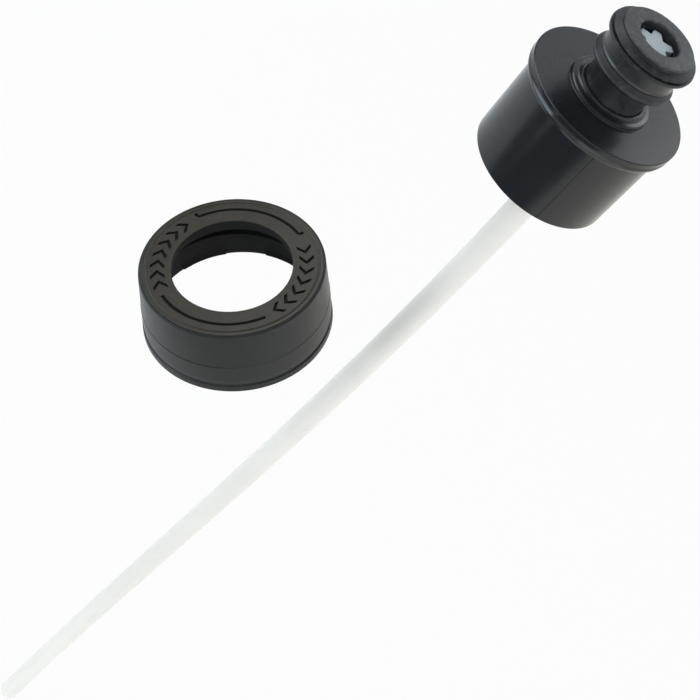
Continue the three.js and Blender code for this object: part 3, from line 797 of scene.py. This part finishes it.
def poppet():
    """The star that is pressed down, on a pin with a wide head and a thin tail."""
    top = POPPET_HIGH.z
    tail = POPPET_LOW.z
    head_foot = HEAD_TOP - HEAD_T
    bm = prism(star_points(), STAR_FOOT, top)
    upright = [e for e in bm.edges if abs(e.verts[0].co.z - e.verts[1].co.z) > 1]
    round_edges(bm, upright, 0.28, 4)
    rim = [e for e in bm.edges if all(abs(v.co.z - top) < LEVEL_SLACK for v in e.verts)]
    round_edges(bm, rim, 0.16, 3)
    pin = turned(
        [
            (0, tail), (TAIL_R, tail, 0.3), (TAIL_R, head_foot, 0.2), (HEAD_R, head_foot, 0.3),
            (HEAD_R, HEAD_TOP, 0.3), (PIN_R, HEAD_TOP, 0.1), (PIN_R, STAR_FOOT + STAR_SUNK),
            (0, STAR_FOOT + STAR_SUNK),
        ],
        96,
    )
    bm = carved(bm, pin, "UNION")
    piece("star_poppet", bm, "poppet", ACETAL, ["poppet"])


def o_ring(name, node, body, look):
    """A rubber ring of round section, from the box of its node."""
    low, high = node_box(node)
    section = (high.z - low.z) / 2
    middle = (high.z + low.z) / 2
    outline = [(high.x - section + x, middle + z) for x, z in ring_points(section, 24)]
    piece(name, turned(outline, 120), body, look, [node], crisp=False)


def return_spring():
    """A coil whose first and last turns are closed."""
    wire = 0.3
    coil_gap = 0.05
    turns = 6.5
    per_turn = 36
    radius = SPRING_HIGH.x - wire
    low = SPRING_LOW.z + wire
    high = SPRING_HIGH.z - wire
    pitch = 2 * wire + coil_gap
    count = round(turns * per_turn)
    frames = []
    for i in range(count + 1):
        turn = turns * i / count
        climb = min(max((turn - 1) / (turns - 2), 0), 1)
        ends = min(turn, 1) + max(turn - turns + 1, 0)
        z = low + ends * pitch + climb * (high - low - 2 * pitch)
        frames.append(
            Matrix.Rotation(TURN * turn, 4, "Z") @ Matrix.Translation((radius, 0, z))
            @ Matrix.Rotation(TURN / 4, 4, "X")
        )
    bm = swept(ring_points(wire, 12), frames)
    spring = piece(
        "return_spring_wire", bm, "insert", SPRING_STEEL, ["return_spring"],
        crisp=False,
    )
    length = SPRING_HIGH.z - SPRING_LOW.z
    travel = JOINTS["poppet_press"]["range_m"][1] / MM
    (length - travel) / length
    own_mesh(spring)


def spring_retainer():
    """A perforated disc with a boss that guides the poppet's tail."""
    low, high = RETAINER_LOW, RETAINER_HIGH
    plate = low.z + 1.2
    guide = 1.55
    boss = 2.25
    hole_r = 0.85
    bm = turned(
        [
            (guide, low.z, 0.1), (high.x, low.z, 0.15), (high.x, plate, 0.15), (boss, plate, 0.15),
            (boss - 0.1, high.z, 0.15), (guide, high.z, 0.1),
        ],
        96,
    )
    ring = (SPRING_HIGH.x + high.x) / 2
    holes = [rod(hole_r, low.z - 1, plate + 1, x, y, 24) for x, y in hole_places(ring, 6)]
    bm = carved(bm, joined(*holes))
    piece("retainer_disc", bm, "insert", ACETAL, ["spring_retainer"])


poppet()
o_ring("poppet_ring", "poppet_seal", "poppet", RING_RUBBER)
o_ring("nozzle_ring", "nozzle_o_ring", "insert", RING_RUBBER)
o_ring("housing_ring", "housing_o_ring", "insert", RING_RUBBER)
return_spring()
spring_retainer()

# ---------------------------------------------------------------- housing, ball valve, dip tube

TUBE_R = 3.0
TUBE_WALL = 1.0
BALL_R = (BALL_HIGH.z - BALL_LOW.z) / 2
BALL_BORE = CAGE_HIGH.x - SOCKET_X + FIT_GAP
SEAT_R = BALL_R - 0.5
SEAT_HEIGHT = 1.6
STOP_T = 1.6
CUP_WALL = 2.2
SOCKET_WALL = 1.7
CHAMBER_WALL = 1.6
CAGE_RIM = 0.9
CAGE_BAR = 0.9
CAGE_INSET = 0.03


def ball_seat():
    """Heights of the foot and the top of the cone that the ball rests on."""
    slope = (BALL_BORE - SEAT_R) / SEAT_HEIGHT
    reach = ((BALL_R + SEAL_GAP) * math.hypot(1, slope) - SEAT_R) / slope
    foot = BALL_LOW.z + BALL_R - reach
    return foot, foot + SEAT_HEIGHT


def lower_housing():
    """A cup that closes the well, with the ball's chamber and the tube's socket under it."""
    top = HOUSING_HIGH.z
    foot = HOUSING_LOW.z
    floor = CAGE_HIGH.z + FIT_GAP
    stop_top = WELL_FOOT - RUN_GAP
    stop_foot = stop_top - STOP_T
    stop_r = WELL_R + WELL_WALL
    cup_r = SHOULDER_R - CUP_WALL
    seal_z = (top + WELL_FOOT) / 2
    cup = turned(
        [
            (0, stop_foot),
            (stop_r, stop_foot, 0.3),
            (stop_r, stop_top, 0.15),
            (SHOULDER_R, stop_top, 0.1),
            *groove(SHOULDER_R, seal_z),
            (SHOULDER_R, top, 0.2),
            (cup_r, top, 0.2),
            (cup_r, floor, 0.3),
            (0, floor),
        ],
        128,
    )
    seat_foot, seat_top = ball_seat()
    tube_top = TUBE_HIGH.z + FIT_GAP
    socket_r = TUBE_R + SOCKET_WALL
    socket_bore = TUBE_R + FIT_GAP
    chamber_r = BALL_BORE + CHAMBER_WALL
    stem = moved(
        turned(
            [
                (0, foot), (socket_r, foot, 0.3), (socket_r, tube_top, 0.4),
                (chamber_r, seat_top, 0.4), (chamber_r, stop_foot + 0.3),
                (0, stop_foot + 0.3),
            ],
            128,
        ),
        SOCKET_X,
    )
    passage = moved(
        turned(
            [
                (0, foot - 0.5), (socket_bore, foot - 0.5), (socket_bore, tube_top),
                (SEAT_R, tube_top), (SEAT_R, seat_foot), (BALL_BORE, seat_top),
                (BALL_BORE, floor + 0.5), (0, floor + 0.5),
            ],
            96,
        ),
        SOCKET_X,
    )
    bm = carved(carved(cup, stem, "UNION"), passage)
    piece("housing_moulding", bm, "insert", HOUSING_BLACK, ["lower_housing"])


def ball_cage():
    """A ring crossed by two bars, which keeps the ball in its chamber."""
    low, high = CAGE_LOW.z, CAGE_HIGH.z
    outer = CAGE_HIGH.x - SOCKET_X
    inner = outer - CAGE_RIM
    bm = turned([(inner, low, 0.1), (outer, low, 0.1), (outer, high, 0.1), (inner, high, 0.1)], 72)
    cross = cross_points(inner + CAGE_RIM / 2, CAGE_BAR / 2)
    bm = carved(bm, prism(cross, low + CAGE_INSET, high - CAGE_INSET), "UNION")
    piece("cage_moulding", moved(bm, SOCKET_X), "insert", ACETAL, ["ball_cage"])


def cross_points(reach, half_width):
    """The outline of two crossed bars."""
    corners = []
    for i in range(4):
        turn = Matrix.Rotation(i * TURN / 4, 3, "Z")
        for x, y in ((half_width, -half_width), (reach, -half_width), (reach, half_width)):
            corners.append((turn @ Vector((x, y, 0))).xy)
    return corners


def check_ball():
    bm = bmesh.new()
    bmesh.ops.create_uvsphere(bm, u_segments=48, v_segments=32, radius=BALL_R)
    moved(bm, SOCKET_X, 0, (BALL_LOW.z + BALL_HIGH.z) / 2)
    piece("steel_ball", bm, "check_ball", BALL_STEEL, ["check_ball"], crisp=False)


# The tube leaves its socket straight, then keeps a slow sideways curl and a slight sag.
TUBE_STRAIGHT = 12
TUBE_CURL = 31.5
TUBE_RECOVERY = 16.8
TUBE_SAG = 4.0
TUBE_STEPS = 150
SLOPE_STEP = 0.5


def tube_point(down):
    """The tube's centre at a height below its top."""
    run = max(down - TUBE_STRAIGHT, 0) / (TUBE_HIGH.z - TUBE_LOW.z - TUBE_STRAIGHT)
    x = SOCKET_X - TUBE_CURL * run**2 + TUBE_RECOVERY * run**3
    return Vector((x, -TUBE_SAG * run**2, TUBE_HIGH.z - down))


def dip_tube():
    """A skin carried along the tube's line, then given its wall."""
    length = TUBE_HIGH.z - TUBE_LOW.z
    frames = []
    for i in range(TUBE_STEPS + 1):
        down = length * i / TUBE_STEPS
        ahead = tube_point(min(down + SLOPE_STEP, length))
        slope = ahead - tube_point(max(down - SLOPE_STEP, 0))
        turn = slope.normalized().rotation_difference(Vector((0, 0, -1))).inverted()
        frames.append(Matrix.Translation(tube_point(down)) @ turn.to_matrix().to_4x4())
    bm = swept(ring_points(TUBE_R, 40), frames, closed_ends=False)
    bmesh.ops.solidify(bm, geom=bm.faces[:], thickness=TUBE_WALL)
    bmesh.ops.recalc_face_normals(bm, faces=bm.faces)
    piece("dip_tube_pipe", bm, "insert", TUBE_MILK, ["dip_tube"])


def vent_valve():
    """An umbrella valve: a disc under the roof, and a stem and knob through it."""
    disc = VENT_HIGH.x
    stem = 0.6
    roof = ROOF_Z - FIT_GAP
    knob = FLANGE_T + FIT_GAP
    outline = [
        (0, VENT_LOW.z),
        (disc * 0.6, VENT_LOW.z + 0.2, 0.3),
        (disc, roof - 0.2, 0.05),
        (disc, roof, 0.03),
        (stem, roof),
        (stem, knob),
        (0.95, knob, 0.1),
        (0.7, VENT_HIGH.z - 0.2, 0.2),
        (0, VENT_HIGH.z),
    ]
    bm = moved(turned(outline, 72), 0, VENT_Y)
    piece("vent_umbrella", bm, "insert", SEAL_RUBBER, ["vent_valve"])


lower_housing()
ball_cage()
check_ball()
dip_tube()
vent_valve()

# ---------------------------------------------------------------- ring cap

CAP_HEIGHT = 16.45
CAP_BORE = 18.8
CAP_HOLE = 12.67
CAP_PLATE = 1.7
CAP_TOP = 19.55
CAP_UPPER = 20.05
CAP_LOWER = 20.25
CAP_BEAD = 20.5
CAP_STEP_DEPTH = 9.1
CAP_BEAD_HEIGHT = 1.55
RIDGE_R = 14.7
RIDGE_DEPTH = 2.7
BORE_SUNK = 0.3
STOP_COUNT = 6
STOP_SPAN = math.radians(32)
STOP_DEPTH = 0.55


def cap_outline():
    """Across the face with its fine groove and lip, down the stepped side and up the bore.

    It closes over the ridge under the plate. Heights on the cap are measured from its face.
    """
    rim = -CAP_HEIGHT
    bead = rim + CAP_BEAD_HEIGHT
    return [
        (CAP_HOLE, -CAP_PLATE, 0.1),
        (CAP_HOLE, 0, 0.22),
        (17.95, 0, 0.03),
        (18.08, -0.09, 0.03),
        (18.2, 0.03, 0.05),
        (19.0, 0.03, 0.06),
        (CAP_EDGE_R, -0.17, 0.04),
        (CAP_TOP - 0.02, -0.2, 0.24),
        (CAP_UPPER, -CAP_STEP_DEPTH, 0.03),
        (CAP_UPPER + 0.08, -CAP_STEP_DEPTH - 0.16, 0.05),
        (CAP_LOWER, bead + 1.4, 0.5),
        (CAP_LOWER - 0.1, bead + 0.06, 0.06),
        (CAP_BEAD - 0.09, bead - 0.1, 0.09),
        (CAP_BEAD, rim, 0.14),
        (CAP_BORE, rim, 0.15),
        (CAP_BORE, -CAP_PLATE, 0.4),
        (RIDGE_R + 0.5, -CAP_PLATE, 0.15),
        (RIDGE_R + 0.35, -CAP_PLATE - RIDGE_DEPTH, 0.12),
        (RIDGE_R - 0.35, -CAP_PLATE - RIDGE_DEPTH, 0.12),
        (RIDGE_R - 0.5, -CAP_PLATE, 0.15),
    ]


# Grooves in the cap's face: two arcs, and on each side a row of plain chevrons between them
MARK_R = 16.1
MARK_WIDTH = 0.74
MARK_DEPTH = 0.42
CUT_HEIGHT = 0.4
HOOK = 0.55
HOOK_STEPS = 7
ARC_STEPS = 60
REAR_ARC = math.radians(-101)
REAR_HALF = math.radians(44)
FRONT_ARC = math.radians(77.5)
FRONT_HALF = math.radians(43.5)
CHEVRON_ROWS = (math.radians(-11.5), math.radians(164))
CHEVRON_R = 15.5
CHEVRON_PITCH = math.radians(11)
CHEVRON_COUNT = 7


def on_circle(radius, angle):
    """A point at an angle round the Z axis."""
    return Vector((radius * math.cos(angle), radius * math.sin(angle), 0))


def arc_path(first, last, hooked):
    """Points along an arc, with its ends turned outwards where it is hooked."""
    bend = HOOK / MARK_R if hooked else 0
    sweep = last - first - 2 * bend
    angles = [first + bend + sweep * i / ARC_STEPS for i in range(ARC_STEPS + 1)]
    points = [on_circle(MARK_R, angle) for angle in angles]
    if hooked:
        points = hook_path(first, 1) + points + hook_path(last, -1)[::-1]
    return points


def hook_path(end, side):
    """An outward end of an arc: a short radial stroke and a quarter turn into the arc."""
    centre_angle = end + side * HOOK / MARK_R
    centre = on_circle(MARK_R + HOOK, centre_angle)
    points = [on_circle(MARK_R + 2 * HOOK, end)]
    for i in range(HOOK_STEPS):
        turn = centre_angle - side * TURN / 4 * (1 + i / HOOK_STEPS)
        points.append(centre + on_circle(HOOK, turn))
    return points


def groove_cutter(points):
    """A groove's section carried along points on the cap's face."""
    brim = MARK_WIDTH / 2 + 0.02
    brim_height = 0.037
    floor = MARK_WIDTH / 4
    section = [
        (brim, -CUT_HEIGHT), (brim, -brim_height), (floor, MARK_DEPTH),
        (-floor, MARK_DEPTH), (-brim, -brim_height), (-brim, -CUT_HEIGHT),
    ]
    frames = []
    for i, point in enumerate(points):
        along = points[min(i + 1, len(points) - 1)] - points[max(i - 1, 0)]
        turn = Matrix.Rotation(math.atan2(along.y, along.x) - TURN / 4, 4, "Z")
        frames.append(Matrix.Translation(point) @ turn @ Matrix.Rotation(-TURN / 4, 4, "X"))
    return swept(section, frames)


def chevron_cutter(angle):
    """A chevron that points the way the cap is tightened."""
    reach, rise, stroke, flare = 1.45, 0.75, 0.95, 1.08
    corners = [
        (reach, rise), (0, -rise), (-reach, rise), (-reach, rise + stroke), (0, stroke - rise),
        (reach, rise + stroke),
    ]
    return rotated(moved(prism(corners, -MARK_DEPTH, CUT_HEIGHT, flare), CHEVRON_R), angle)


def cap_marks():
    """The cutters for the face's arcs and chevrons."""
    cutters = [
        groove_cutter(arc_path(REAR_ARC - REAR_HALF, REAR_ARC + REAR_HALF, True)),
        groove_cutter(arc_path(FRONT_ARC - FRONT_HALF, FRONT_ARC + FRONT_HALF, False)),
    ]
    for middle in CHEVRON_ROWS:
        for i in range(CHEVRON_COUNT):
            cutters.append(chevron_cutter(middle + (i - (CHEVRON_COUNT - 1) / 2) * CHEVRON_PITCH))
    return joined(*cutters)


def bore_segment(section, first, span, climb=0.0, steps=16):
    """A section of (radius, height) turned part of the way round, climbing as it goes."""
    bm = bmesh.new()
    face = bm.faces.new([bm.verts.new((r, 0, z)) for r, z in section])
    bmesh.ops.rotate(bm, matrix=Matrix.Rotation(first, 3, "Z"), verts=bm.verts)
    bmesh.ops.spin(
        bm, geom=[face], axis=(0, 0, 1), cent=(0, 0, 0), dvec=(0, 0, climb / steps), angle=span,
        steps=steps,
    )
    bmesh.ops.recalc_face_normals(bm, faces=bm.faces)
    return bm


def cap_stops():
    """Short beads round the foot of the bore."""
    low = -CAP_HEIGHT + 0.2
    inner = CAP_BORE - STOP_DEPTH
    outer = CAP_BORE + BORE_SUNK
    section = [(inner, low + 0.25), (outer, low), (outer, low + 2.2), (inner, low + 0.55)]
    return [
        bore_segment(section, TURN * i / STOP_COUNT - STOP_SPAN / 2, STOP_SPAN)
        for i in range(STOP_COUNT)
    ]


# The bore's screw thread, right-handed
THREAD_PITCH = 4.23
THREAD_TURNS = 1.6
THREAD_DEPTH = 1.05
THREAD_TOP = -6.2
THREAD_STEPS = 72
THREAD_FADE = 0.12


def cap_thread():
    """A ridge that climbs the bore, and sinks into it over the last part of each end."""
    outer = CAP_BORE + BORE_SUNK
    inner = CAP_BORE - THREAD_DEPTH
    section = [(outer, 1.0), (inner, 0.35), (inner, -0.35), (outer, -1.0)]
    steps = round(THREAD_TURNS * THREAD_STEPS)
    bm = bore_segment(section, 0, THREAD_TURNS * TURN, THREAD_TURNS * THREAD_PITCH, steps)
    for vert in bm.verts:
        turn = vert.co.z / THREAD_PITCH
        fade = min(max(turn, 0), max(THREAD_TURNS - turn, 0), THREAD_FADE) / THREAD_FADE
        reach = math.hypot(vert.co.x, vert.co.y)
        if reach < CAP_BORE:
            sunk = reach + (1 - fade) * (CAP_BORE + BORE_SUNK / 2 - reach)
            vert.co.x *= sunk / reach
            vert.co.y *= sunk / reach
    return moved(bm, 0, 0, THREAD_TOP - THREAD_TURNS * THREAD_PITCH)


def ring_cap():
    """The turned cap with its stops and thread, its face cut, laid in its place."""
    bm = turned(cap_outline(), 200)
    bm = carved(bm, joined(*cap_stops()), "UNION")
    bm = carved(bm, cap_thread(), "UNION")
    bm = carved(bm, cap_marks())
    piece("cap_moulding", bm, "ring_cap", CAP_BLACK, ["ring_cap"], place=CAP_MATRIX)


ring_cap()

# ---------------------------------------------------------------- camera, stage and light

CAMERA_LENS = 77.143
CAMERA_SENSOR = 36
CAMERA_PLACE = (0, -0.260777, 0.157008)
CAMERA_RIGHT = Vector((0.73341414, 0.47955675, 0.4817977))
CAMERA_UP = Vector((-0.67969712, 0.50612129, 0.53089835))
CAMERA_FORWARD = Vector((-0.01074781, 0.71684486, -0.69714986))


def camera():
    data = bpy.data.cameras.new("camera")
    data.lens = CAMERA_LENS
    data.sensor_width = CAMERA_SENSOR
    data.clip_start = 0.01
    data.clip_end = 20
    item = bpy.data.objects.new("camera", data)
    turn = Matrix((CAMERA_RIGHT, CAMERA_UP, -CAMERA_FORWARD)).transposed().to_4x4()
    item.matrix_world = Matrix.Translation(CAMERA_PLACE) @ turn
    bpy.context.scene.collection.objects.link(item)
    bpy.context.scene.camera = item


# The stage is in metres
FLOOR_Z = TUBE_LOW.z * MM - 0.004
PAPER = (0.9, 0.9, 0.9)
WALL_PAPER = (0.85, 0.89, 0.94)
COOL_PAPER = (0.89, 0.96, 1.0)
WARM_PAPER = (1.0, 0.985, 0.90)
WHITE = (1.0, 1.0, 1.0)
FLOOR_LIFT = 0.88
GREY_CARD = (0.2, 0.205, 0.22)
DARK_CARD = (0.05, 0.05, 0.055)
PALE_CARD = (0.75, 0.79, 0.84)
COOL_GLOW = (0.72, 0.87, 1.0)
WARM_GLOW = (1.0, 0.98, 0.92)
SKY = (0.97, 0.99, 1.0)
SKY_STRENGTH = 0.87
SEEN_BY = ("Is Camera Ray", "Is Glossy Ray", "Is Transmission Ray")


def paper_look(name, colour, lift):
    """Plain paper that glows by the share lift where it is seen.

    The glow is white to the camera. To reflections it is cool on the left and warm on the right.
    """
    look = new_look(name)
    camera_ray, glossy, through = (look.node("ShaderNodeLightPath", out=kind) for kind in SEEN_BY)
    side = look.ramp(look.axis("X"), -0.35, 0.25)
    tint = look.blend(camera_ray, look.blend(side, COOL_PAPER, WARM_PAPER), WHITE)
    paper = look.node("ShaderNodeBsdfDiffuse", inputs={"Color": colour})
    white = look.node("ShaderNodeEmission", inputs={"Color": tint, "Strength": 1.0})
    seen = camera_ray + glossy + through
    return look.show(look.node("ShaderNodeMixShader", inputs=[seen * lift, paper, white]))


def card_look(name, colour):
    """A plain matt card."""
    look = new_look(name)
    return look.show(look.node("ShaderNodeBsdfDiffuse", inputs={"Color": colour}))


def glow_look(name, colour, strength):
    """A card that reflections see as a soft light, and that lights nothing itself."""
    look = new_look(name)
    glossy = look.node("ShaderNodeLightPath", out="Is Glossy Ray")
    dark = look.node("ShaderNodeBsdfTransparent")
    glow = look.node("ShaderNodeEmission", inputs={"Color": colour, "Strength": strength})
    return look.show(look.node("ShaderNodeMixShader", inputs=[glossy, dark, glow]))


def sheet(name, width, depth, place, look, upright=False, turn=0.0):
    """A flat sheet of the stage, which isn't a piece of the object."""
    bm = bmesh.new()
    bmesh.ops.create_grid(bm, x_segments=1, y_segments=1, size=0.5)
    bmesh.ops.scale(bm, vec=(width, depth, 1), verts=bm.verts)
    if upright:
        rotated(bm, TURN / 4, "X")
    rotated(bm, turn)
    bmesh.ops.translate(bm, vec=place, verts=bm.verts)
    item = raw_object(name, bm)
    item.data.materials.append(look)
    return item


FRONT_TURN = math.radians(-14)
FRONT_GAP = 0.315
FLOOR_WIDTH = 6
FLOOR_DEPTH = 3.4
APRON_DEPTH = 2.5
WALL_HEIGHT = 3.5
STREAK_REACH = 0.56
STREAK_TURN = math.radians(-124)
WING_TURN = math.radians(65)
COOL_TURN = math.radians(-70)
WARM_TURN = math.radians(45)


def stage():
    """A pale floor and backdrop, and round them cards that the camera doesn't see."""
    front = Matrix.Rotation(FRONT_TURN, 3, "Z") @ Vector((0, 1, 0))
    floor = front * (FLOOR_DEPTH / 2 - FRONT_GAP)
    floor.z = FLOOR_Z
    paper = paper_look("paper_floor", PAPER, FLOOR_LIFT)
    sheet("floor", FLOOR_WIDTH, FLOOR_DEPTH, floor, paper, turn=FRONT_TURN)
    wall = (0, 3.0, FLOOR_Z + WALL_HEIGHT / 2)
    paper = paper_look("paper_wall", WALL_PAPER, 0.0)
    sheet("backdrop", 7, WALL_HEIGHT, wall, paper, upright=True)
    apron = front * (-APRON_DEPTH / 2 - FRONT_GAP)
    apron.z = FLOOR_Z
    grey = card_look("grey_card", GREY_CARD)
    dark = card_look("dark_card", DARK_CARD)
    streak = on_circle(STREAK_REACH, STREAK_TURN)
    streak.z = FLOOR_Z + 0.002
    pale = card_look("pale_card", PALE_CARD)
    cool = glow_look("cool_glow", COOL_GLOW, 5.0)
    warm = glow_look("warm_glow", WARM_GLOW, 1.7)
    cards = [
        sheet("grey_card", FLOOR_WIDTH, APRON_DEPTH, apron, grey, turn=FRONT_TURN),
        sheet("grey_ceiling", 2.6, 2.2, (0, -0.1, 1.3), grey),
        sheet("dark_wing", 1.8, 1.4, (-1.5, 0.7, 0.38), dark, upright=True, turn=WING_TURN),
        sheet("pale_streak", 0.14, 0.1, streak, pale, turn=STREAK_TURN),
        sheet("cool_card", 1.8, 0.6, (-1.15, -0.42, 0.1), cool, upright=True, turn=COOL_TURN),
        sheet("warm_card", 1.6, 0.45, (0.85, -0.85, 0.02), warm, upright=True, turn=WARM_TURN),
    ]
    for card in cards:
        card.visible_camera = False


# Lamps: name, place, aim, width and height, power, colour, and whether reflections show them
LAMPS = [
    ("key", (-0.8, 0.38, 1.18), (0, 0, -0.02), (0.9, 0.9), 9.0, (0.97, 0.99, 1.0), True),
    ("rear_right", (0.45, 1.55, 1.0), (0, 0, 0), (0.6, 0.5), 3.0, (1.0, 0.98, 0.95), True),
    ("left_front", (-0.9, -0.6, 0.3), (0, 0, -0.1), (0.9, 0.9), 4.5, (0.92, 0.97, 1.0), False),
    ("right_front", (1.0, -0.6, 0.4), (0, 0, -0.1), (0.8, 0.8), 5.0, (1.0, 0.97, 0.92), False),
]


def panel(name, place, aim, size, power, colour, mirrored):
    data = bpy.data.lights.new(name, "AREA")
    data.shape = "RECTANGLE"
    data.size, data.size_y = size
    data.energy = power
    data.color = colour
    item = bpy.data.objects.new(name, data)
    facing = (Vector(place) - Vector(aim)).to_track_quat("Z", "Y").to_matrix().to_4x4()
    item.matrix_world = Matrix.Translation(place) @ facing
    item.visible_camera = False
    item.visible_glossy = mirrored
    bpy.context.scene.collection.objects.link(item)


def lights():
    for lamp in LAMPS:
        panel(*lamp)
    world = Look(bpy.data.worlds.new("studio"), "ShaderNodeOutputWorld")
    sky = world.node("ShaderNodeBackground", inputs={"Color": SKY, "Strength": SKY_STRENGTH})
    bpy.context.scene.world = world.show(sky)


camera()
stage()
lights()

bpy.context.scene.view_settings.view_transform = "Standard"
